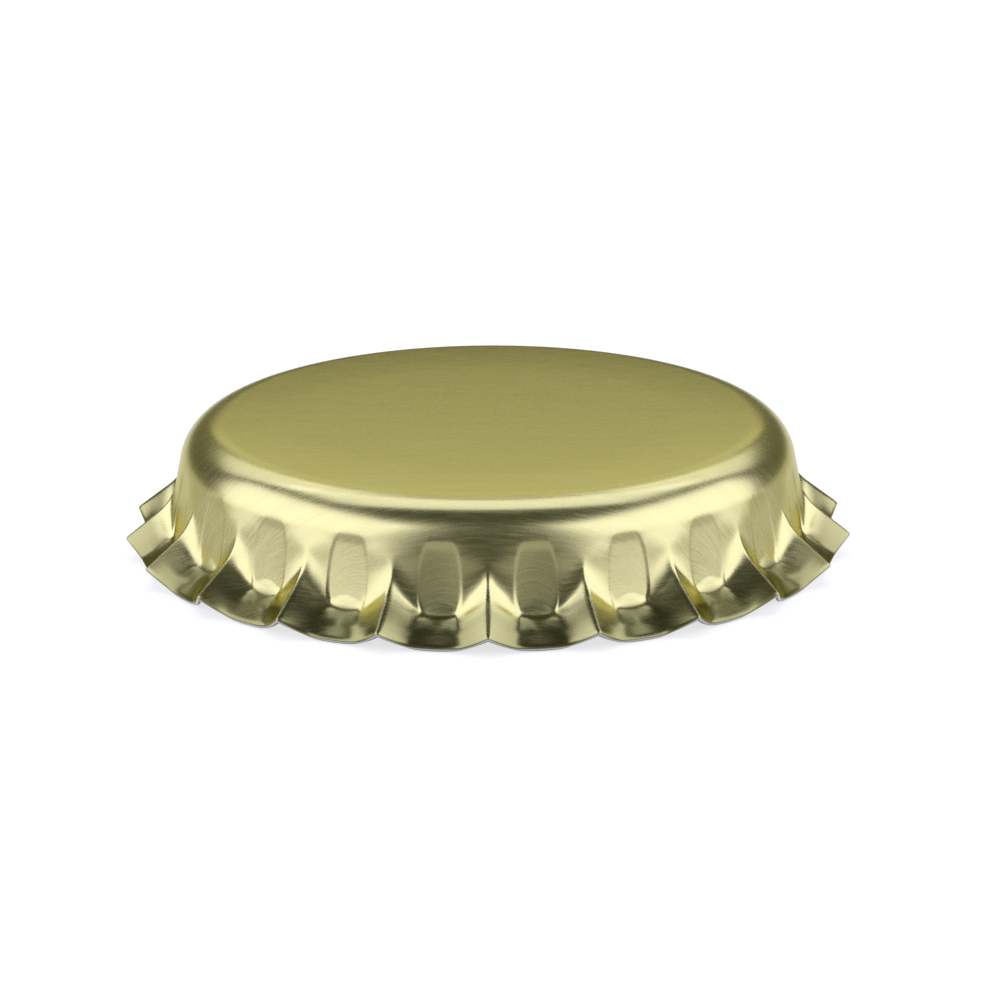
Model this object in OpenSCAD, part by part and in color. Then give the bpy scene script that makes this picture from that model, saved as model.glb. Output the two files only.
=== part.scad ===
// Metal cap for a glass bottle, as it leaves the press: a shell stamped from one disc of
// thin sheet, with 21 flutes round its skirt, and the sealing liner moulded inside it.
// Millimetres, +Z up. The origin is on the axis, at the level that the skirt stands on.

/* [Shell] */
// Diameter over the tips of the ridges
outer_d = 32.1; // [31.6:0.1:32.8]
// Inner diameter of the plain wall, which slips over the bottle's mouth
bore_d = 26.7; // [26.3:0.05:27]
// Height from the rim to the flat top
height = 5.97; // [5.8:0.01:6.6]
// Thickness of the sheet
sheet_t = 0.24; // [0.2:0.01:0.28]
// Outer radius of the shoulder between the flat top and the wall
shoulder_r = 2; // [1.6:0.05:2.1]
// Height of the plain wall between the shoulder and the flutes
plain_wall_h = 0.3; // [0.2:0.05:0.6]

/* [Flutes] */
// Number of flutes round the skirt
flutes = 21; // [18:1:24]
// Radius at which a ridge bends out of the wall
ridge_bend_r = 1.5; // [1:0.1:2]
// Height of a ridge's tip above the rim of the panels beside it
tip_lift = 0.65; // [0.4:0.05:0.8]
// Radius of the sheet's outer face over a ridge's crest
crest_r = 0.35; // [0.25:0.05:0.5]
// Radius of the crease between a ridge's flank and a panel
crease_r = 0.25; // [0.15:0.05:0.4]

/* [Panels] */
// Diameter over the rim of the panels between the ridges
lip_d = 30.8; // [30:0.1:31.4]
// Slope of a panel's lip below the horizontal, in degrees
lip_slope = 20; // [12:1:32]
// Radius at which a panel bends out into its lip
lip_bend_r = 1.1; // [0.7:0.1:1.4]
// Width of a panel at the top of the skirt
panel_top_w = 1.7; // [1.2:0.05:2.1]
// Width of a panel half way down
panel_mid_w = 1.5; // [1:0.05:1.9]
// Width of a panel at the rim
panel_rim_w = 2.4; // [1.8:0.1:2.8]

/* [Liner] */
// Thickness of the liner's thin middle
liner_t = 0.25; // [0.15:0.05:0.4]
// Diameter of the main bead's crown
bead_d = 24; // [23.4:0.1:24.2]
// Width of the main bead
bead_w = 1.7; // [1.4:0.1:2]
// Depth of the main bead below the shell's flat
bead_h = 1; // [0.7:0.05:1.2]
// Diameter of the inner bead's crown
inner_bead_d = 21; // [20:0.1:21.4]
// Width of the inner bead
inner_bead_w = 1.4; // [1:0.1:1.6]
// Depth of the inner bead below the shell's flat
inner_bead_h = 0.6; // [0.45:0.05:0.8]
// Room between the liner and the inside of the shoulder
liner_gap = 0.05; // [0.03:0.01:0.15]

/* [Hidden] */
GOLD = [0.72, 0.68, 0.38];
LINER_GREY = [0.86, 0.87, 0.84];
ROUND_FN = 96;

// Radii and levels that several features share
bore_r = bore_d / 2;
wall_r = bore_r + sheet_t;
tip_r = outer_d / 2;
lip_r = lip_d / 2;
flat_r = wall_r - shoulder_r;
seat_z = height - sheet_t;
shoulder_z = height - shoulder_r;
skirt_top_z = shoulder_z - plain_wall_h;
half_pitch = 180 / flutes;

// The skirt is a loft whose faces lie this far inside the sheet's own, and whose collar
// reaches this far up into the plain wall, so that the two join as solids
skin = 0.01;
collar_h = 0.1;

// The lip lies on its inner edge, with its outer edge one thickness above the ground
lip_z = (sheet_t - skin) * cos(lip_slope);
tip_z = lip_z + tip_lift;

// A meridian of the skirt runs down the wall, bends outwards and runs straight to the rim.
// Point [radius, z] at a share of its length:
function setback(slope, bend_r) = bend_r * tan((90 - slope) / 2);
function meridian(end_r, end_z, slope, bend_r, share) =
    let (
        bend_z = end_z + (end_r - wall_r) * tan(slope) + setback(slope, bend_r),
        drop = skirt_top_z - bend_z,
        arc = bend_r * (90 - slope) * PI / 180,
        flare = (end_r - wall_r) / cos(slope) - setback(slope, bend_r),
        run = share * (drop + arc + flare),
        turn = min(max(run - drop, 0) / bend_r * 180 / PI, 90 - slope),
        past = max(run - drop - arc, 0)
    )
    [
        wall_r + bend_r * (1 - cos(turn)) + past * cos(slope),
        skirt_top_z - min(run, drop) - bend_r * sin(turn) - past * sin(slope)
    ];

// A ridge bends out at the very top of the skirt, and its slope is that of the tangent
// from its tip to the bend
ridge_slope =
    let (
        across = tip_r - wall_r - ridge_bend_r,
        down = skirt_top_z - tip_z
    )
    acos(ridge_bend_r / norm([across, down])) + atan2(down, across) - 90;
function ridge_point(share) = meridian(tip_r, tip_z, ridge_slope, ridge_bend_r, share);
function panel_point(share) = meridian(lip_r, lip_z, lip_slope, lip_bend_r, share);

// Width of a panel down the skirt: a parabola through its three widths
function panel_w(share) =
    panel_top_w
    + share * (4 * panel_mid_w - 3 * panel_top_w - panel_rim_w)
    + 2 * share * share * (panel_top_w + panel_rim_w - 2 * panel_mid_w);

// Angle from a ridge's crest to the crease where its flank meets the panel
function crease_angle(share) =
    half_pitch - asin(panel_w(share) / 2 / panel_point(share)[0]);

// How far the sheet stands out from panel (0) to ridge (1), at a distance round the cap
// from the crest: a straight flank, with the crest and the crease rounded to their radii
function soft_ramp(x, softness) = (x + sqrt(x * x + softness * softness)) / 2;
function flank(x, crease_x, rise) =
    let (
        crest_x = crest_r * rise / crease_x,
        run = crease_x - crest_x / 2,
        along = 1 - (sqrt(x * x + crest_x * crest_x) - crest_x) / run
    )
    soft_ramp(along, rise * crease_r / (2 * run * run));
function stand_out(angle, share) =
    let (
        panel = panel_point(share),
        rise = norm(ridge_point(share) - panel),
        per_degree = panel[0] * PI / 180,
        crease_x = crease_angle(share) * per_degree,
        low = flank(half_pitch * per_degree, crease_x, rise),
        high = flank(0, crease_x, rise)
    )
    (flank(angle * per_degree, crease_x, rise) - low) / (high - low);

// Point of the sheet's outer face, at an angle round the cap
function sheet_point(angle, share) =
    let (
        panel = panel_point(share),
        off_crest = abs((angle + half_pitch + 360) % (2 * half_pitch) - half_pitch),
        at = panel + stand_out(off_crest, share) * (ridge_point(share) - panel)
    )
    [at[0] * sin(angle), -at[0] * cos(angle), at[1]];

// Normal of the outer face, from a small step each way along it
nudge = 0.001;
function unit(v) = v / norm(v);
function sheet_normal(angle, share) =
    unit(cross(
        sheet_point(angle + nudge, share) - sheet_point(angle - nudge, share),
        sheet_point(angle, max(share - nudge, 0)) - sheet_point(angle, min(share + nudge, 1))
    ));

// Rows of the loft, as shares of the meridian's length: closer where the sheet bends
ROW_SHARES = [0, 0.09, 0.18, 0.27, 0.37, 0.47, 0.55, 0.63, 0.71, 0.85, 1];
// Stations across half a flute, as shares of the flank and then of the half panel
FLANK_SHARES = [0, 0.25, 0.55, 0.85];
PANEL_SHARES = [0.15];
function half_flute(share) =
    let (crease = crease_angle(share))
    concat(
        [for (q = FLANK_SHARES) q * crease],
        [for (q = PANEL_SHARES) crease + q * (half_pitch - crease)]
    );
function stations(share) =
    let (half = half_flute(share), last = len(half) - 1)
    [
        for (k = [0:flutes - 1])
            for (a = concat(half, half_pitch, [for (i = [last:-1:1]) 2 * half_pitch - half[i]]))
                a + k * 2 * half_pitch
    ];

// One closed row of points round the cap, at a depth in the sheet below its outer face
function row(share, depth) = [
    for (a = stations(share)) sheet_point(a, share) - depth * sheet_normal(a, share)
];
function collar(r) = [
    for (a = stations(0)) [r * sin(a), -r * cos(a), skirt_top_z + collar_h]
];

// The fluted skirt, as a loft of closed rows that runs down the outer face, across the
// cut edge and up the inner face
module skirt() {
    last = len(ROW_SHARES) - 1;
    rows = concat(
        [collar(wall_r - skin)],
        [for (share = ROW_SHARES) row(share, skin)],
        [for (i = [last:-1:0]) row(ROW_SHARES[i], sheet_t - skin)],
        [collar(bore_r + skin)]
    );
    around = len(rows[0]);
    per_flute = around / flutes;
    polyhedron(
        points = [for (r = rows) each r],
        faces = [
            for (j = [0:len(rows) - 1])
                for (i = [0:around - 1])
                    let (
                        a = j * around + i,
                        b = j * around + (i + 1) % around,
                        c = (j + 1) % len(rows) * around + (i + 1) % around,
                        d = (j + 1) % len(rows) * around + i
                    )
                    each i % per_flute < per_flute / 2
                        ? [[a, b, d], [b, c, d]]
                        : [[a, b, c], [a, c, d]]
        ]
    );
}

// Flat top, shoulder and plain wall, turned from the sheet's section
module top_and_wall() {
    rotate_extrude($fn = ROUND_FN) {
        translate([0, seat_z])
            square([flat_r, sheet_t]);
        translate([bore_r, skirt_top_z])
            square([sheet_t, plain_wall_h]);
        translate([flat_r, shoulder_z])
            intersection() {
                difference() {
                    circle(r = shoulder_r);
                    circle(r = shoulder_r - sheet_t);
                }
                square(shoulder_r);
            }
    }
}

module fluted_shell() {
    color(GOLD) {
        top_and_wall();
        skirt();
    }
}

// One round bead of the liner's section, reaching a depth below the shell's flat
module bead(crown_d, width, depth) {
    translate([crown_d / 2, seat_z - depth + width / 2])
        circle(d = width);
}

// The liner's section: a thin web and two beads, all under the shell's flat and inside
// its shoulder, whose curve the back of the main bead follows
module liner_section() {
    intersection() {
        union() {
            translate([0, seat_z - liner_t])
                square([bead_d / 2, liner_t]);
            bead(bead_d, bead_w, bead_h);
            bead(inner_bead_d, inner_bead_w, inner_bead_h);
        }
        union() {
            square([flat_r - liner_gap, seat_z]);
            translate([flat_r - liner_gap, shoulder_z])
                circle(r = shoulder_r - sheet_t);
        }
    }
}

module sealing_liner() {
    color(LINER_GREY)
        rotate_extrude($fn = ROUND_FN)
            liner_section();
}

fluted_shell();
sealing_liner();
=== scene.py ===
# %% [markdown]
# # A bottle cap of lacquered sheet metal
# The cap is pressed from one disc of thin tinplate and lined with a moulded plastic seal.
# Its solids come packed as a fixed frame, and this notebook dresses them: a finer shell
# with its cut edge, the lacquer, the bare steel, the plastic, and a small light studio.

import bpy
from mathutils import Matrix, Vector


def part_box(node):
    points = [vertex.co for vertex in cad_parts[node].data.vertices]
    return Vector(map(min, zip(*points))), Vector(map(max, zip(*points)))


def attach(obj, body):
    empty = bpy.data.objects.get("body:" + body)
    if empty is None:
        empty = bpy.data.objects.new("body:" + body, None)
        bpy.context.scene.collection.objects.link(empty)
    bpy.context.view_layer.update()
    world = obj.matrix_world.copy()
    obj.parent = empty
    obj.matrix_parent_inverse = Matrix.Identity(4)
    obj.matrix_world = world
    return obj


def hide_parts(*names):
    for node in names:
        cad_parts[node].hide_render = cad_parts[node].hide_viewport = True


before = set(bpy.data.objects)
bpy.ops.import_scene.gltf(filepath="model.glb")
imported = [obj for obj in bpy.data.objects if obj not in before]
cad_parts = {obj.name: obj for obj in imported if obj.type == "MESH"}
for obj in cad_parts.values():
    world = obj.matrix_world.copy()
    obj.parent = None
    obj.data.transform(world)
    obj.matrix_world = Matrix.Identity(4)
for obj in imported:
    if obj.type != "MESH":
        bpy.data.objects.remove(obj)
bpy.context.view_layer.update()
print("nodes:", sorted(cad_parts))

# %% [markdown]
# # Sizes
# The shell's few sizes decide everything else, so they are written once, in metres. The
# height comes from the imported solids. The rest are a press tool's: the radii of the wall,
# the ridges' tips and the panels' lips, the sheet's thickness, the bends and the slopes. A
# panel's lip stands on the table by its inner edge, and the tips are held above it.

# %% Sizes of the shell
import math
import bpy

MM = 0.001
_, top_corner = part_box("fluted_shell")
HEIGHT = top_corner.z
TIP_R = 16.05 * MM
WALL_R = 13.59 * MM
SHOULDER_R = 2 * MM
SHEET = 0.24 * MM
FLUTES = 21
LIP_R = 15.4 * MM
LIP_SLOPE = math.radians(38)
LIP_BEND = 0.6 * MM
RIDGE_SLOPE = math.radians(38.5)
RIDGE_BEND = 2.3 * MM
LIP_Z = SHEET * math.cos(LIP_SLOPE)
TIP_Z = LIP_Z + 0.69 * MM
SHOULDER_TURN = math.radians(77)
print(f"height {HEIGHT / MM:.2f} mm, tips {TIP_Z / MM:.2f} mm up")

# %% [markdown]
# # Arithmetic as nodes
# Geometry Nodes do arithmetic with one node for each sum, which makes a long rule hard to
# read. This small class gives a socket the usual signs, so a rule is written as a formula
# here and still ends up as ordinary nodes that can be opened and changed in Blender.

# %% A socket that can be added and multiplied
class Term:
    """A number inside a node tree."""

    def __init__(self, tree, socket):
        self.tree, self.socket = tree, socket

    def math(self, operation, *others, clamp=False):
        node = self.tree.nodes.new("ShaderNodeMath")
        node.operation, node.use_clamp = operation, clamp
        for socket, value in zip(node.inputs, (self, *others)):
            feed(self.tree, value, socket)
        return Term(self.tree, node.outputs[0])

    def __add__(self, other): return self.math("ADD", other)
    def __mul__(self, other): return self.math("MULTIPLY", other)
    def __rmul__(self, other): return self.math("MULTIPLY", other)
    def __sub__(self, other): return self.math("SUBTRACT", other)
    def __rsub__(self, other): return self.math("MULTIPLY", -1).math("ADD", other)
    def __truediv__(self, other): return self.math("DIVIDE", other)
    def __rtruediv__(self, other): return self.math("POWER", -1) * other
    def sin(self): return self.math("SINE")
    def cos(self): return self.math("COSINE")
    def tan(self): return self.math("TANGENT")
    def root(self): return self.math("SQRT")
    def size(self): return self.math("ABSOLUTE")
    def clamp(self): return self.math("ADD", 0, clamp=True)
    def at_most(self, other): return self.math("MINIMUM", other)
    def at_least(self, other): return self.math("MAXIMUM", other)


def feed(tree, value, socket):
    """Gives a socket a plain value, or links it to a Term or to another socket."""
    if isinstance(value, Term):
        value = value.socket
    if isinstance(value, bpy.types.NodeSocket):
        tree.links.new(value, socket)
    else:
        socket.default_value = value


# %% Helpers for any node tree
COLUMN_STEP, ROW_STEP, NODES_IN_COLUMN = 190, 210, 8


def add(tree, kind, values=None, **settings):
    """A new node with its settings and the values of its inputs, by name or number."""
    node = tree.nodes.new(kind)
    for name, value in settings.items():
        setattr(node, name, value)
    for name, value in (values or {}).items():
        feed(tree, value, node.inputs[name])
    return node


def vector(tree, operation, *values):
    node = add(tree, "ShaderNodeVectorMath", operation=operation)
    for socket, value in zip([s for s in node.inputs if s.enabled], values):
        feed(tree, value, socket)
    return node.outputs[0]


def spread(tree, title=None):
    """Lays a tree's nodes out in columns, in the order they were made."""
    for number, node in enumerate(tree.nodes):
        column, row = divmod(number, NODES_IN_COLUMN)
        node.location = (COLUMN_STEP * column, -ROW_STEP * row)
    print(f"{title or tree.name}: {len(tree.nodes)} nodes")


# %% [markdown]
# # The meridians of the skirt
# A press bends the skirt along two curves: one down the middle of each panel, one down the
# crest of each ridge. Both run down at a slight tilt, bend outwards at a radius and run
# straight to the rim. A ridge goes on from the shoulder at the same tilt and bends out
# gently. A panel leans less, is pressed in a hair below the wall, and bends sharply near
# its foot into a steep lip, which is the floor of a small bowl.

# %% One meridian
def meridian(share, start, end, tilt, slope, bend):
    """Radius and height at a share of the curve's length, and that length."""
    (start_r, start_z), (end_r, end_z) = start, end
    turning = math.pi / 2 - slope - tilt
    setback = bend * (turning / 2).tan()
    corner = (start_z - end_z - (end_r - start_r) * slope.tan()) / (
        1 - tilt.tan() * slope.tan())
    drop = corner / tilt.cos() - setback
    arc = bend * turning
    flare = (end_r - start_r - corner * tilt.tan()) / slope.cos() - setback
    run = share * (drop + arc + flare)
    straight = run.at_most(drop)
    turned = ((run - drop).at_least(0) / bend).at_most(turning) + tilt
    past = (run - drop - arc).at_least(0)
    radius = start_r + straight * tilt.sin() + bend * (tilt.cos() - turned.cos()) + (
        past * slope.cos())
    level = start_z - straight * tilt.cos() - bend * (turned.sin() - tilt.sin()) - (
        past * slope.sin())
    return radius, level, drop + arc + flare


# %% The panel's meridian and the ridge's
# Share of the skirt over which a panel goes in below the wall
PRESSING_RUN = 0.09


def skirt_start(size):
    """Where the shoulder's arc ends and the skirt begins."""
    bend = size["Shoulder radius"]
    radius = size["Wall radius"] - bend + bend * size["Shoulder turn"].sin()
    return radius, size["Height"] - bend * (1 - size["Shoulder turn"].cos())


def panel_meridian(share, size):
    """The panels are pressed in below the wall, over a short run at their top."""
    start_r, start_z = skirt_start(size)
    radius, level, length = meridian(
        share, (start_r - size["Panel depth"], start_z),
        (size["Lip radius"], size["Lip height"]),
        size["Panel tilt"], size["Lip slope"], size["Lip bend"])
    short = 1 - (share / PRESSING_RUN).clamp()
    return radius + size["Panel depth"] * short * short * (3 - 2 * short), level, length


def ridge_meridian(share, size):
    return meridian(share, skirt_start(size), (size["Tip radius"], size["Tip height"]),
                    size["Ridge tilt"], size["Ridge slope"], size["Ridge bend"])


# %% [markdown]
# # The rule of the sheet
# Any point of the sheet's outer face follows from two numbers: its angle from a ridge's
# crest, and how far down the sheet it lies: 0 to 1 on the flat, 1 to 2 round the shoulder,
# 2 to 3 on the skirt. There it stands out from the panel's meridian towards the ridge's. A
# flank is round at the top of the skirt, nearly straight further down, and meets the panel
# in a small steep step. Towards the foot the step fades and the crease opens to a wide
# round, so that lip and flanks run together in one bowl. Modelling by hand could give one
# flute, but a rule keeps all of them equal and every size open to change.

# %% The sizes as named inputs
SIZES = {
    "Height": HEIGHT, "Wall radius": WALL_R, "Shoulder radius": SHOULDER_R,
    "Tip radius": TIP_R, "Tip height": TIP_Z, "Ridge slope": RIDGE_SLOPE,
    "Ridge bend": RIDGE_BEND, "Lip radius": LIP_R, "Lip height": LIP_Z,
    "Lip slope": LIP_SLOPE, "Lip bend": LIP_BEND, "Crest width": 0.13 * MM,
    "Crease step": 0.1 * MM, "Side slope": math.radians(68),
    "Flutes": float(FLUTES), "Shoulder turn": SHOULDER_TURN,
    "Panel tilt": math.radians(9), "Panel depth": 0.02 * MM,
    "Ridge tilt": math.pi / 2 - SHOULDER_TURN,
}


def inputs_of(tree, names):
    """Adds named inputs to a tree and returns them as Terms."""
    for name, value in names.items():
        socket = tree.interface.new_socket(
            name=name, in_out="INPUT", socket_type="NodeSocketFloat")
        socket.default_value = value
    node = tree.nodes.new("NodeGroupInput")
    return {name: Term(tree, node.outputs[name]) for name in names}


print(len(SIZES), "named sizes")

# %% Values that change down the skirt
# Each list holds pairs: a share of the way down the skirt, and the value there.

# Width of a panel, in millimetres
PANEL_WIDTHS = [(0, 1), (0.04, 1.2), (0.11, 1.5), (0.19, 1.7), (0.27, 1.8), (0.38, 1.83),
                (0.46, 1.78), (0.55, 1.6), (0.62, 1.5), (0.75, 1.7), (1, 2.4)]
# How round a flank is: 2 is a parabola, 1 is straight, and less is hollow
FLANK_POWERS = [(0, 3.6), (0.1, 2.8), (0.18, 1.6), (0.25, 0.85), (0.34, 0.8),
                (0.5, 0.95), (1, 1)]
# How far the crease beside a panel is rounded, in millimetres
CREASE_ROUNDING = [(0, 0.01), (0.5, 0.01), (0.6, 0.06), (0.7, 0.25), (0.85, 0.48),
                   (1, 0.38)]
# A curve node holds values up to 1, so they go in divided by this
CURVE_TOP = 4


def down_curve(tree, share, values):
    """A smooth curve through values given at shares of the way down the skirt."""
    curve = add(tree, "ShaderNodeFloatCurve", {"Value": share})
    points = curve.mapping.curves[0].points
    while len(points) < len(values):
        points.new(0.5, 0.5)
    for point, (at, value) in zip(points, values):
        point.location = (at, value / CURVE_TOP)
    curve.mapping.update()
    return Term(tree, curve.outputs[0]) * CURVE_TOP


def crease_angle(tree, share, lip, size):
    """Angle from a ridge's crest to the crease at the side of a panel."""
    half_pitch = math.pi / size["Flutes"]
    width = down_curve(tree, share, PANEL_WIDTHS) * MM
    return half_pitch - (width / 2 / lip).math("ARCSINE")


for title, values in (("panel widths", PANEL_WIDTHS), ("flank powers", FLANK_POWERS),
                      ("crease rounding", CREASE_ROUNDING)):
    print(f"{title}:", [value for _, value in values])


# %% How far a flute stands out
# A length too small to see, which keeps a division or a blend from reaching zero
HAIR = 0.001 * MM
# The step's upper edge is rounded by this share of its height, up to a most
STEP_ROUNDING, STEP_ROUNDING_TOP = 0.9, 0.06 * MM


def soft_ramp(x, softness):
    return (x + (x * x + softness * softness).root()) / 2


def stand_out(x, crease_x, rise, step, crest_x, power, side_slope, softness, freed):
    """Height of a flute above the panel: level over the crest, rounded down its flank, and
    a small steep step at the crease. The step's side gives way where it is freed."""
    along = (x - crest_x).at_least(0) / (crease_x - crest_x)
    over = rise - (rise - step) * along.math("POWER", power)
    side = (crease_x - x) * side_slope.tan() + freed
    blend = (step * STEP_ROUNDING).at_most(STEP_ROUNDING_TOP) + HAIR
    return soft_ramp(over.math("SMOOTH_MIN", side, blend), softness)


def eased_distance(off_panel, half, ease):
    """Distance from the crest, which levels out at the middle of a panel, so that the two
    sides of the bowl meet there without a line."""
    eased = ((off_panel * off_panel + ease * ease).root() - ease) / (
        (half * half + ease * ease).root() - ease)
    return half * (1 - eased)


# %% Where the bowl begins
# Share of the skirt from which the crease opens, and how fast it is freed and eased
FOOT = 0.58
FREED_BY, EASED_BY = 6 * MM, 0.8 * MM
# How much sooner the sheet bends beside the middle of a panel, and the most of it
SOONER, SOONER_TOP = 1.6, 0.3
# The most of a flute's rise that its crease step takes
STEP_TOP = 0.35
# Panels are flat across: the chord's limit fades beside them and towards the foot
CHORD_FOOT, CHORD_FREED_BY, CHORD_SLOPE, CHORD_BLEND = 0.56, 3 * MM, 2, 0.012 * MM
# Where the painted shade in the bowls begins and is full, and how much less a ridge has
PAINTED_SHADE_TOP, PAINTED_SHADE_RUN, PAINTED_SHADE_LESS = 0.6, 0.1, 0.4


def flute_form(tree, share, crease, rise, lip_r, size):
    """What stand_out needs to know about the flute at a share of the skirt."""
    step = (rise * STEP_TOP).at_most(size["Crease step"] * (1 - share))
    return (crease * lip_r, rise, step, size["Crest width"] / 2,
            down_curve(tree, share, FLANK_POWERS), size["Side slope"],
            down_curve(tree, share, CREASE_ROUNDING) * MM,
            (share - FOOT).at_least(0) * FREED_BY)


def flattened(radius, lip_r, off_panel, half_panel, share):
    """Presses a panel flat, as a chord of its circle."""
    chord = lip_r * half_panel.cos() / off_panel.cos()
    chord = chord + (off_panel - half_panel).at_least(0) * lip_r * CHORD_SLOPE + (
        (share - CHORD_FOOT).at_least(0) * CHORD_FREED_BY)
    return radius.math("SMOOTH_MIN", chord, CHORD_BLEND)


# %% The rule itself
def build_sheet_point():
    tree = bpy.data.node_groups.new("sheet point", "GeometryNodeTree")
    size = inputs_of(tree, {"Angle": 0, "Down": 0, **SIZES})
    down = size["Down"]
    # The flat and the shoulder
    start_r, start_z = skirt_start(size)
    bend_r = size["Shoulder radius"]
    turn = (down - 1).clamp() * size["Shoulder turn"]
    flat_at = (size["Wall radius"] - bend_r) * down.clamp() + bend_r * turn.sin()
    shoulder_z = size["Height"] - bend_r * (1 - turn.cos())
    # The two meridians of the skirt
    share = (down - 2).clamp()
    half_pitch = math.pi / size["Flutes"]
    off_panel = half_pitch - size["Angle"].size()
    aside = off_panel / half_pitch
    sooner = (aside * aside).at_most(SOONER_TOP) * share * (1 - share) * SOONER
    plain_r, _, _ = panel_meridian(share, size)
    lip_r, lip_z, _ = panel_meridian(share + sooner, size)
    tip_r, tip_z, _ = ridge_meridian(share, size)
    out, up = tip_r - lip_r, tip_z - lip_z
    rise = (out * out + up * up).root() + HAIR
    # The flute between them, as a share of the way from panel to ridge
    crease = crease_angle(tree, share, plain_r, size)
    form = flute_form(tree, share, crease, rise, lip_r, size)
    half = half_pitch * lip_r
    ease = (share - FOOT).at_least(0) * EASED_BY
    lowest = stand_out(half, *form)
    highest = stand_out(crease * 0, *form)
    x = eased_distance(off_panel * lip_r, half, ease)
    stand = (stand_out(x, *form) - lowest) / (highest - lowest)
    radius = flat_at + (lip_r - start_r) + stand * out
    level = shoulder_z + (lip_z - start_z) + stand * up
    radius = flattened(radius, lip_r, off_panel, half_pitch - crease, share)
    point = add(tree, "ShaderNodeCombineXYZ", {
        "X": radius * size["Angle"].sin(), "Y": radius * size["Angle"].cos() * -1,
        "Z": level})
    # Painted shade: a darker colour in the bowl at the foot of a panel, which reaches up its
    # flanks
    painted_shade = ((share - PAINTED_SHADE_TOP) / PAINTED_SHADE_RUN).clamp() * (1 - stand * PAINTED_SHADE_LESS)
    tree.interface.new_socket(name="Point", in_out="OUTPUT", socket_type="NodeSocketVector")
    tree.interface.new_socket(name="Painted shade", in_out="OUTPUT", socket_type="NodeSocketFloat")
    answer = tree.nodes.new("NodeGroupOutput")
    feed(tree, point.outputs[0], answer.inputs["Point"])
    feed(tree, painted_shade, answer.inputs["Painted shade"])
    spread(tree)
    return tree


sheet_point = build_sheet_point()

# %% [markdown]
# # The strip of one flute
# A strip of one flute's width starts at the middle of the flat, runs down the outer face,
# round the cut edge, and back up the inner face, one sheet thickness deeper along the
# normal. Solidify could give the thickness, but the rule can be asked for the normal too,
# and then the cut edge gets its own rows. The grid's columns crowd at the crest and the
# creases, so that those stay crisp with few faces.

# %% Rows and columns of the strip
# Runs of rows, as their number and how much of a part of the sheet they cover: flat,
# shoulder, skirt and the skirt's last bit on the way down, and the same less one back up
ROWS_DOWN = ((3, 1), (16, 1), (42, 0.95), (6, 0.05))
ROWS_EDGE = 8
ROWS_BACK = ((26, 1), (8, 1), (3, 1))
ROWS = sum(count for count, _ in ROWS_DOWN + ROWS_BACK) + ROWS_EDGE + 1
COLUMNS = 37
# Share of the columns that lie on the flanks, and how much they crowd at the ends
FLANK_COLUMNS, CROWDING = 0.62, 0.7
# How far the cut edge bulges, as a share of the skirt
EDGE_BULGE = 0.01


def rows_past(row, start, count):
    """0 before a run of rows, 1 after it, in even steps along it."""
    return ((row - start) / count).clamp()


def down_the_sheet(row):
    """How far down the sheet a row lies, and its share of the way round the cut edge."""
    start, down = 0, 0
    for count, length in ROWS_DOWN:
        down, start = rows_past(row, start, count) * length + down, start + count
    edge = rows_past(row, start, ROWS_EDGE)
    start += ROWS_EDGE
    for count, length in ROWS_BACK:
        down, start = down - rows_past(row, start, count) * length, start + count
    skirt = (down - 2).clamp() * (1 - EDGE_BULGE * (1 - (edge * math.pi).sin()))
    return down.at_most(2) + skirt, edge


def across_the_flute(tree, column, down, size):
    """Signed angle of a column, from -1 to 1, with the creases on fixed columns."""
    share = (down - 2).clamp()
    lip_r, _, _ = panel_meridian(share, size)
    crease = crease_angle(tree, share, lip_r, size)
    on_flank = (column.size() / FLANK_COLUMNS).clamp()
    on_panel = ((column.size() - FLANK_COLUMNS) / (1 - FLANK_COLUMNS)).clamp()
    crowded = on_flank - (on_flank * (2 * math.pi)).sin() * (CROWDING / (2 * math.pi))
    angle = crease * crowded + (math.pi / size["Flutes"] - crease) * on_panel
    return angle * column.math("SIGN")


print(f"{ROWS} rows of {COLUMNS} columns, {FLUTES} times")


# %% Helpers for a mesh in a tree
def ask(tree, size, angle, down, answer="Point"):
    """Asks the rule for the point, or for the share of painted shade, at an angle and a way
    down.
    """
    group = add(tree, "GeometryNodeGroup", node_tree=sheet_point)
    for name in SIZES:
        feed(tree, size[name], group.inputs[name])
    feed(tree, angle, group.inputs["Angle"])
    feed(tree, down, group.inputs["Down"])
    return group.outputs[answer]


def keep(tree, mesh, name, value, domain="POINT", kind="FLOAT"):
    """Stores a value on the mesh under a name."""
    node = add(tree, "GeometryNodeStoreNamedAttribute", domain=domain, data_type=kind)
    feed(tree, mesh, node.inputs["Geometry"])
    node.inputs["Name"].default_value = name
    feed(tree, value, next(s for s in node.inputs if s.name == "Value" and s.enabled))
    return node.outputs[0]


def recall(tree, name):
    node = add(tree, "GeometryNodeInputNamedAttribute", {"Name": name}, data_type="FLOAT")
    return Term(tree, node.outputs["Attribute"])


def position(tree):
    """The three coordinates of a point, as outputs."""
    place = add(tree, "ShaderNodeSeparateXYZ")
    feed(tree, add(tree, "GeometryNodeInputPosition").outputs[0], place.inputs[0])
    return place.outputs


# %% The strip's thickness
# The normal is taken from points this far to each side, in radians and ways down, and no
# nearer to the axis than the last
NORMAL_ASIDE, NORMAL_DOWN, NORMAL_FROM = 0.012, 0.03, 0.1
# The shears roll the sheet's corner over, along this much of the skirt and this deep
ROLL_LENGTH, ROLL_DEPTH = 0.05, 0.04 * MM


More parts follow.
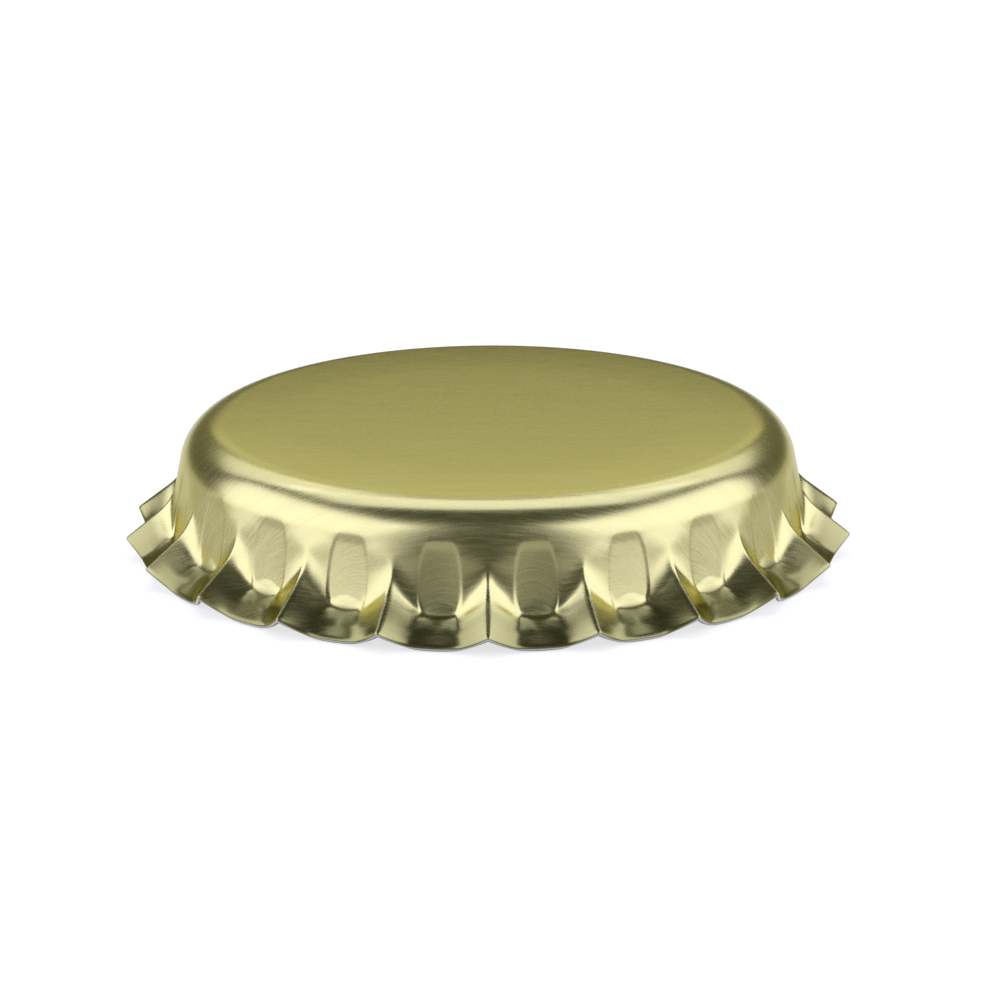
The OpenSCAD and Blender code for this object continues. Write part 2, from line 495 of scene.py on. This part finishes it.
def sheet_normal(tree, size, angle, down):
    near = down.at_least(NORMAL_FROM)
    sideways = vector(tree, "SUBTRACT", ask(tree, size, angle + NORMAL_ASIDE, near),
                      ask(tree, size, angle - NORMAL_ASIDE, near))
    downwards = vector(tree, "SUBTRACT",
                       ask(tree, size, angle, (near + NORMAL_DOWN).at_most(3)),
                       ask(tree, size, angle, near - NORMAL_DOWN))
    return vector(tree, "NORMALIZE", vector(tree, "CROSS_PRODUCT", downwards, sideways))


def sunk(tree, size, normal, down, edge):
    """How far a point lies below the outer face: nothing on it, the sheet's thickness on
    the inner face, and half a turn between them round the cut edge."""
    roll = ((down - 3 + ROLL_LENGTH) / ROLL_LENGTH).at_least(0)
    depth = size["Sheet"] * (1 - (edge * math.pi).cos()) / 2 + (
        roll * roll * (1 - edge) * ROLL_DEPTH)
    move = add(tree, "ShaderNodeVectorMath", operation="SCALE")
    feed(tree, normal, move.inputs[0])
    feed(tree, depth * -1, move.inputs["Scale"])
    return move.outputs[0]


def length_on_blank(size, down):
    """Length from the middle to a point, before the sheet was pressed."""
    _, _, skirt_run = panel_meridian(down, size)
    return ((size["Wall radius"] - size["Shoulder radius"]) * down.clamp()
            + size["Shoulder radius"] * size["Shoulder turn"] * (down - 1).clamp()
            + skirt_run * (down - 2).clamp())


def flute_strip(tree, size):
    grid = add(tree, "GeometryNodeMeshGrid", {
        "Size X": 2, "Size Y": ROWS - 1, "Vertices X": COLUMNS, "Vertices Y": ROWS})
    where = position(tree)
    down, edge = down_the_sheet(Term(tree, where["Y"]) + (ROWS - 1) / 2)
    angle = across_the_flute(tree, Term(tree, where["X"]), down, size)
    strip = keep(tree, grid.outputs["Mesh"], "run", length_on_blank(size, down))
    strip = keep(tree, strip, "cut edge", edge)
    # Painted shade for the bowls at the panels' feet, kept on the mesh for the materials
    strip = keep(tree, strip, "painted_shade", ask(tree, size, angle, down, "Painted shade"))
    inwards = sunk(tree, size, sheet_normal(tree, size, angle, down), down, edge)
    place = add(tree, "GeometryNodeSetPosition", {"Geometry": strip})
    feed(tree, vector(tree, "ADD", ask(tree, size, angle, down), inwards),
         place.inputs["Position"])
    return place.outputs[0]


# %% [markdown]
# # The whole shell
# The strip is instanced once for each flute, turned about the axis, made real and merged
# along its sides and at the middle. Each corner also keeps where its metal lay on the flat
# blank, as a UV map: the sheet was brushed before it was pressed, so the brush marks have
# to follow the blank, straight over the flat and slanting round the skirt.

# %% All flutes round the axis
MERGE_DISTANCE = 0.0005 * MM
# Keeps the map's middle from a division by zero
MIDDLE = 1e-6


def round_the_axis(tree, strip, size):
    turns = add(tree, "ShaderNodeCombineXYZ", {
        "Z": Term(tree, add(tree, "GeometryNodeInputIndex").outputs[0])
        * (2 * math.pi) / size["Flutes"]})
    axis = add(tree, "GeometryNodePoints", {"Count": size["Flutes"]})
    copies = add(tree, "GeometryNodeInstanceOnPoints", {
        "Points": axis.outputs[0], "Instance": strip, "Rotation": turns.outputs[0]})
    real = add(tree, "GeometryNodeRealizeInstances", {"Geometry": copies.outputs[0]})
    merged = add(tree, "GeometryNodeMergeByDistance", {
        "Geometry": real.outputs[0], "Distance": MERGE_DISTANCE})
    return merged.outputs[0]


def mapped_to_blank(tree, shell):
    """The map goes out from the middle by each point's length on the blank."""
    flat = position(tree)
    x, y = Term(tree, flat["X"]), Term(tree, flat["Y"])
    stretch = recall(tree, "run") / ((x * x + y * y).root() + MIDDLE)
    blank = add(tree, "ShaderNodeCombineXYZ", {"X": x * stretch, "Y": y * stretch})
    return keep(tree, shell, "blank", blank.outputs[0], "CORNER", "FLOAT2")


# %% The tree of the shell
# Shares of the way round the cut edge from which the steel, then the inner lacquer shows
STEEL_FROM, INNER_FROM = 0.3, 0.93


def build_shell_tree(materials):
    tree = bpy.data.node_groups.new("fluted shell", "GeometryNodeTree")
    size = inputs_of(tree, {**SIZES, "Sheet": SHEET})
    shell = round_the_axis(tree, flute_strip(tree, size), size)
    shell = mapped_to_blank(tree, shell)
    shell = add(tree, "GeometryNodeSetShadeSmooth", {"Geometry": shell}).outputs[0]
    cut = recall(tree, "cut edge")
    zones = (True, cut.math("GREATER_THAN", STEEL_FROM),
             cut.math("GREATER_THAN", INNER_FROM))
    for material, zone in zip(materials, zones):
        paint = add(tree, "GeometryNodeSetMaterial", {
            "Geometry": shell, "Material": material})
        feed(tree, zone, paint.inputs["Selection"])
        shell = paint.outputs[0]
    tree.interface.new_socket(
        name="Geometry", in_out="OUTPUT", socket_type="NodeSocketGeometry")
    feed(tree, shell, tree.nodes.new("NodeGroupOutput").inputs["Geometry"])
    spread(tree)
    return tree


# %% [markdown]
# # Gold lacquer on brushed tinplate
# The sheet is bright tinplate, brushed in one direction and coated with a thin clear gold
# lacquer. The metal's colour is the lacquer's. The brush marks stretch its reflections
# across their direction, which anisotropy with a tangent along the blank gives, and fine
# streaks in the colour, the roughness and the bump keep the surface from looking cast.
# The bowls at the foot of the panels get painted shade: a darker colour, which the mesh
# marks as an attribute, so the painted shade lies on the metal and stays in every view.

# %% Helpers for a material
# Noise keeps mostly between these two values
NOISE_LOW, NOISE_HIGH = 0.3, 0.7
# Numbers of a Mix node's share and two colours, and of its answer
MIX_SHARE, MIX_FIRST, MIX_SECOND, MIX_RESULT = 0, 6, 7, 2


def new_material(name):
    material = bpy.data.materials.new(name)
    material.use_nodes = True
    tree = material.node_tree
    return material, tree, tree.nodes["Principled BSDF"]


def streaks(tree, along, across, detail):
    """Noise drawn out along the brushing of the blank, in marks per millimetre."""
    blank = add(tree, "ShaderNodeUVMap", uv_map="blank")
    mapping = add(tree, "ShaderNodeMapping", {"Scale": (along / MM, across / MM, 1)})
    feed(tree, blank.outputs[0], mapping.inputs["Vector"])
    noise = add(tree, "ShaderNodeTexNoise", {
        "Vector": mapping.outputs[0], "Scale": 1, "Detail": detail, "Roughness": 0.6})
    return Term(tree, noise.outputs[0])


def between(tree, value, lowest, highest):
    """A grey noise stretched to run from one value to another."""
    node = add(tree, "ShaderNodeMapRange", {
        "Value": value, "From Min": NOISE_LOW, "From Max": NOISE_HIGH,
        "To Min": lowest, "To Max": highest})
    return Term(tree, node.outputs[0])


def mixed(tree, share, first, second):
    """A colour between two others, each of them plain or from a socket."""
    node = add(tree, "ShaderNodeMix", data_type="RGBA")
    for number, value in ((MIX_SHARE, share), (MIX_FIRST, first), (MIX_SECOND, second)):
        feed(tree, (*value, 1) if isinstance(value, tuple) else value, node.inputs[number])
    return node.outputs[MIX_RESULT]


# %% The lacquered metal
# Marks per millimetre along and across the brushing, and the noise's detail
FINE_MARKS, BROAD_MARKS = (0.6, 11, 3), (0.15, 1.5, 2)
FINE_SHARE = 0.6
ROUGHNESS_SWING = 0.04
BRUSH_DEPTH = 0.004 * MM


def lacquered(name, deep, pale, painted_shade, rough, coat):
    material, tree, metal = new_material(name)
    fine, broad = streaks(tree, *FINE_MARKS), streaks(tree, *BROAD_MARKS)
    tone = between(tree, fine * FINE_SHARE + broad * (1 - FINE_SHARE), 0, 1)
    # Painted shade: the bowls at the panels' feet take the darker third colour
    shade_mask = add(tree, "ShaderNodeAttribute", attribute_name="painted_shade")
    feed(tree, mixed(tree, shade_mask.outputs["Fac"], mixed(tree, tone, deep, pale), painted_shade),
         metal.inputs["Base Color"])
    feed(tree, between(tree, fine, rough - ROUGHNESS_SWING, rough + ROUGHNESS_SWING),
         metal.inputs["Roughness"])
    metal.inputs["Metallic"].default_value = 1
    metal.inputs["Anisotropic"].default_value = 0.55
    metal.inputs["Specular Tint"].default_value = (0.86, 0.81, 0.4, 1)
    metal.inputs["Coat Weight"].default_value = coat
    metal.inputs["Coat Roughness"].default_value = 0.22
    along = add(tree, "ShaderNodeTangent", direction_type="UV_MAP", uv_map="blank")
    feed(tree, along.outputs[0], metal.inputs["Tangent"])
    bump = add(tree, "ShaderNodeBump", {
        "Height": fine, "Strength": 0.35, "Distance": BRUSH_DEPTH})
    feed(tree, bump.outputs[0], metal.inputs["Normal"])
    spread(tree, name)
    return material


# The third colour of each lacquer is painted shade for the bowls at the panels' feet
gold = lacquered("gold lacquer", deep=(0.26, 0.242, 0.105), pale=(0.32, 0.297, 0.13),
                 painted_shade=(0.12, 0.113, 0.038), rough=0.26, coat=0.35)
inner = lacquered("inner lacquer", deep=(0.50, 0.49, 0.42), pale=(0.58, 0.57, 0.50),
                  painted_shade=(0.42, 0.41, 0.34), rough=0.28, coat=0.3)

# %% [markdown]
# # The cut edge
# The press shears the disc out of the sheet, and nothing coats the cut. Its upper part is
# burnished bright by the die, and the rest is a darker, rougher torn band, so the colour
# and the roughness follow how far a point lies round the edge.

# %% Bare steel
# Shares of the way round the edge between which burnished steel turns to torn steel
TORN_FROM, TORN_TO = 0.45, 0.6
TORN_SHARE, GRAIN_SHARE = 0.8, 0.3
GRAINS_PER_MM = 9
BURNISHED, TORN = (0.50, 0.47, 0.50), (0.13, 0.12, 0.13)
SMOOTHEST, ROUGHER_BY = 0.2, 0.3


def bare_steel():
    material, tree, metal = new_material("bare steel")
    cut = add(tree, "ShaderNodeAttribute", attribute_name="cut edge")
    torn = add(tree, "ShaderNodeMapRange", {
        "Value": cut.outputs["Fac"], "From Min": TORN_FROM, "From Max": TORN_TO})
    grain = add(tree, "ShaderNodeTexNoise", {"Scale": GRAINS_PER_MM / MM, "Detail": 3})
    coordinates = add(tree, "ShaderNodeTexCoord")
    feed(tree, coordinates.outputs["Object"], grain.inputs["Vector"])
    share = Term(tree, torn.outputs[0]) * TORN_SHARE + (
        Term(tree, grain.outputs[0]) * GRAIN_SHARE)
    feed(tree, mixed(tree, share, BURNISHED, TORN), metal.inputs["Base Color"])
    metal.inputs["Metallic"].default_value = 1
    feed(tree, share * ROUGHER_BY + SMOOTHEST, metal.inputs["Roughness"])
    spread(tree, material.name)
    return material


steel = bare_steel()

# %% [markdown]
# # Making the shell
# The tree runs as a modifier on an empty mesh. Its result is taken as a plain mesh, so that
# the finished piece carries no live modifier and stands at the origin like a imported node.

# %% The shell
def made_by(tree, name, sizes):
    holder = bpy.data.objects.new("holder", bpy.data.meshes.new("holder"))
    bpy.context.scene.collection.objects.link(holder)
    modifier = holder.modifiers.new("shape", "NODES")
    modifier.node_group = tree
    for socket in tree.interface.items_tree:
        if socket.in_out == "INPUT":
            modifier[socket.identifier] = sizes[socket.name]
    evaluated = holder.evaluated_get(bpy.context.evaluated_depsgraph_get())
    mesh = bpy.data.meshes.new_from_object(evaluated)
    bpy.data.objects.remove(holder)
    mesh.name = name
    while None in list(mesh.materials):
        mesh.materials.pop(index=list(mesh.materials).index(None))
    piece = bpy.data.objects.new(name, mesh)
    bpy.context.scene.collection.objects.link(piece)
    print(name, len(mesh.polygons), "faces,", [m.name for m in mesh.materials],
          [layer.name for layer in mesh.uv_layers])
    return piece


shell = made_by(build_shell_tree([gold, steel, inner]), "pressed_shell",
                {**SIZES, "Sheet": SHEET})
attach(shell, "root")
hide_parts("fluted_shell")

# %% [markdown]
# # The sealing liner
# The liner is a soft plastic disc, moulded in place inside the cap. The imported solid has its
# exact shape, so it stays, and gets the milky plastic with the faint rings that the
# moulding punch leaves in it.

# %% The plastic
RINGS_PER_MM, CLOUDS_PER_MM = 0.35, 0.4
DULL_WHITE, CLEAR_WHITE = (0.66, 0.68, 0.64), (0.74, 0.75, 0.71)
SATIN, MATT = 0.3, 0.42
RING_DEPTH = 0.01 * MM
GLOW_DEPTH = 0.4 * MM


def milky_plastic():
    material, tree, plastic = new_material("milky plastic")
    coordinates = add(tree, "ShaderNodeTexCoord")
    rings = add(tree, "ShaderNodeTexWave", {
        "Scale": RINGS_PER_MM / MM, "Distortion": 0.4, "Detail": 2, "Detail Scale": 1},
        wave_type="RINGS", rings_direction="Z")
    feed(tree, coordinates.outputs["Object"], rings.inputs["Vector"])
    cloud = add(tree, "ShaderNodeTexNoise", {"Scale": CLOUDS_PER_MM / MM, "Detail": 3})
    feed(tree, coordinates.outputs["Object"], cloud.inputs["Vector"])
    cloudy = Term(tree, cloud.outputs[0])
    feed(tree, mixed(tree, between(tree, cloudy, 0, 1), DULL_WHITE, CLEAR_WHITE),
         plastic.inputs["Base Color"])
    feed(tree, between(tree, cloudy, SATIN, MATT), plastic.inputs["Roughness"])
    plastic.inputs["Subsurface Weight"].default_value = 0.3
    plastic.inputs["Subsurface Scale"].default_value = GLOW_DEPTH
    bump = add(tree, "ShaderNodeBump", {
        "Height": rings.outputs[0], "Strength": 0.25, "Distance": RING_DEPTH})
    feed(tree, bump.outputs[0], plastic.inputs["Normal"])
    spread(tree, material.name)
    return material


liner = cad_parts["sealing_liner"]
liner.data.materials.clear()
liner.data.materials.append(milky_plastic())
print("liner:", len(liner.data.polygons), "faces")

# %% [markdown]
# # The floor
# The cap stands on a plain white table. What the eye or a reflection sees of it is mostly
# pure white, and the rest is real lit white, which keeps the cap's soft shadow.

# %% The floor
TABLE_R = 0.4
TABLE_WHITE = (0.8, 0.8, 0.8, 1)
# How much of what is seen of the table is pure white
PURE_SHARE = 0.7


def white_table():
    bpy.ops.mesh.primitive_circle_add(vertices=96, radius=TABLE_R, fill_type="NGON")
    table = bpy.context.object
    table.name = "table"
    material = bpy.data.materials.new("white table")
    material.use_nodes = True
    tree = material.node_tree
    tree.nodes.clear()
    lit = add(tree, "ShaderNodeBsdfDiffuse", {"Color": TABLE_WHITE})
    white = add(tree, "ShaderNodeEmission", {"Strength": 1})
    path = add(tree, "ShaderNodeLightPath")
    seen = Term(tree, path.outputs["Is Camera Ray"]).at_least(
        Term(tree, path.outputs["Is Glossy Ray"])).at_least(
        Term(tree, path.outputs["Is Transmission Ray"]))
    both = add(tree, "ShaderNodeMixShader")
    feed(tree, seen * PURE_SHARE, both.inputs[0])
    feed(tree, lit.outputs[0], both.inputs[1])
    feed(tree, white.outputs[0], both.inputs[2])
    out = add(tree, "ShaderNodeOutputMaterial")
    feed(tree, both.outputs[0], out.inputs["Surface"])
    spread(tree, material.name)
    table.data.materials.append(material)


white_table()

# %% [markdown]
# # The light studio
# A polished shape shows the studio more than itself. Two large boxes stand at the sides,
# with a faint narrow strip nearer the camera beside each. Two small boxes lean in from
# behind, with a faint warm card between them, and one hangs overhead, a little to the back.
# The middle of the camera's side is left dark, so that each bend of the sheet gets a bright
# and a dark band.

# %% The lamps
from mathutils import Vector

# Watts that give a square metre of lamp a level of 1
WATTS_PER_AREA = 4
COOL, WARM = (0.8, 0.805, 1), (1, 0.985, 0.86)
# Name, azimuth and elevation in degrees, distance, width, height and level
BOTH_SIDES = (
    ("box", 105, 22, 0.15, 0.235, 0.14, 3.4),
    ("front strip", 150, 22, 0.15, 0.04, 0.14, 0.9),
    ("back box", 38, 42, 0.15, 0.07, 0.07, 2.2),
)


def softbox(name, azimuth, elevation, distance, wide, tall, level, colour=COOL):
    """A rectangular lamp that faces the cap; azimuth 0 is behind it, positive to the right."""
    side, lift = math.radians(azimuth), math.radians(elevation)
    lamp = bpy.data.lights.new(name, "AREA")
    lamp.shape, lamp.size, lamp.size_y = "RECTANGLE", wide, tall
    lamp.energy = level * WATTS_PER_AREA * wide * tall
    lamp.color = colour
    stand = bpy.data.objects.new(name, lamp)
    stand.location = distance * Vector((
        math.sin(side) * math.cos(lift), math.cos(side) * math.cos(lift), math.sin(lift)))
    stand.rotation_euler = (stand.location * -1).to_track_quat("-Z", "Y").to_euler()
    bpy.context.scene.collection.objects.link(stand)
    print(f"{name}: {lamp.energy:.3f} W")


for side, way in (("left", -1), ("right", 1)):
    for name, azimuth, *rest in BOTH_SIDES:
        softbox(f"{side} {name}", way * azimuth, *rest)
softbox("top box", 0, 76, 0.15, 0.19, 0.09, 2.6)
softbox("back card", 0, 38, 0.12, 0.08, 0.085, 0.88, WARM)

# %% The room
# The room's two tones, and how far to the back the one ends and the other is full
FRONT_TONE, BACK_TONE = (0.13, 0.14, 0.11), (0.24, 0.24, 0.2)
FRONT_UP_TO, BACK_FROM = 0.2, 0.95


def dim_room():
    """A dim room, a little paler at the back than at the front, as the world."""
    world = bpy.data.worlds.new("room")
    world.use_nodes = True
    tree = world.node_tree
    direction = add(tree, "ShaderNodeTexCoord")
    split = add(tree, "ShaderNodeSeparateXYZ")
    feed(tree, direction.outputs["Generated"], split.inputs[0])
    ramp = add(tree, "ShaderNodeMapRange", {
        "Value": split.outputs["Y"], "From Min": FRONT_UP_TO, "From Max": BACK_FROM},
        interpolation_type="SMOOTHSTEP")
    back = tree.nodes["Background"]
    feed(tree, mixed(tree, ramp.outputs[0], FRONT_TONE, BACK_TONE), back.inputs["Color"])
    bpy.context.scene.world = world
    spread(tree, world.name)


dim_room()

# %% [markdown]
# # The camera
# A long lens looks down on the cap at about seventeen degrees, a third of a metre away, and
# leans by a third of a degree.

# %% The camera
CAMERA_AT, LOOKS_AT = (0.000535, -0.32347, 0.09973), (0.000535, 0, 0.002176)
LENS, LEAN = 275.01, math.radians(-0.357)

view = bpy.data.cameras.new("view")
view.sensor_width, view.lens = 36, LENS
view.clip_start = 0.01
camera = bpy.data.objects.new("view", view)
camera.location = CAMERA_AT
aim = Vector(LOOKS_AT) - camera.location
camera.rotation_euler = aim.to_track_quat("-Z", "Y").to_euler()
camera.rotation_euler.rotate_axis("Z", LEAN)
bpy.context.scene.collection.objects.link(camera)
bpy.context.scene.camera = camera
bpy.context.scene.view_settings.view_transform = "Standard"
print(f"camera {camera.location.length:.3f} m away, lens {view.lens:.0f} mm")
